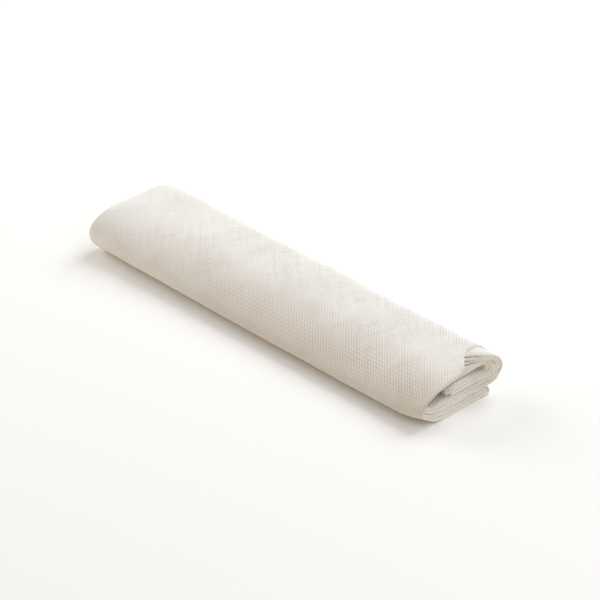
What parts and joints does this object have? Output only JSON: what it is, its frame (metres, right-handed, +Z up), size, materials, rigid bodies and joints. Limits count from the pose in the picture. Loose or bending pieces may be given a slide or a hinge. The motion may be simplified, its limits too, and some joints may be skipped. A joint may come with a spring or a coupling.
{
  "type": "arm sling",
  "caption": "Calico triangular bandage used as an arm sling, folded into a pad and rolled flat for storage. The roll turns forward over its front fold to open.",
  "frame": {"origin": "under the middle of the folded roll, on the surface that the outer flap lies on", "axes": "+X along the roll, +Y to the back, +Z up; the roll opens towards the front, -Y"},
  "size_m": [0.2116, 0.0492, 0.0197],
  "materials": {
    "calico": "unbleached plain-weave cotton, matt, loosely woven, lightly pressed"
  },
  "bodies": {
    "flap": {"outer_flap": "calico", "front_fold": "calico"},
    "roll": {"top_panel": "calico", "back_fold": "calico", "lower_inner_panel": "calico", "inner_front_fold": "calico", "upper_inner_panel": "calico", "inner_back_fold": "calico", "core_panel": "calico"}
  },
  "joints": [
    {"name": "unroll", "type": "hinge", "parent": "flap", "child": "roll", "pos_m": [0, -0.0148, 0.00985], "axis": [1, 0, 0], "range_deg": [0, 180], "deforming": ["front_fold"]}
  ]
}
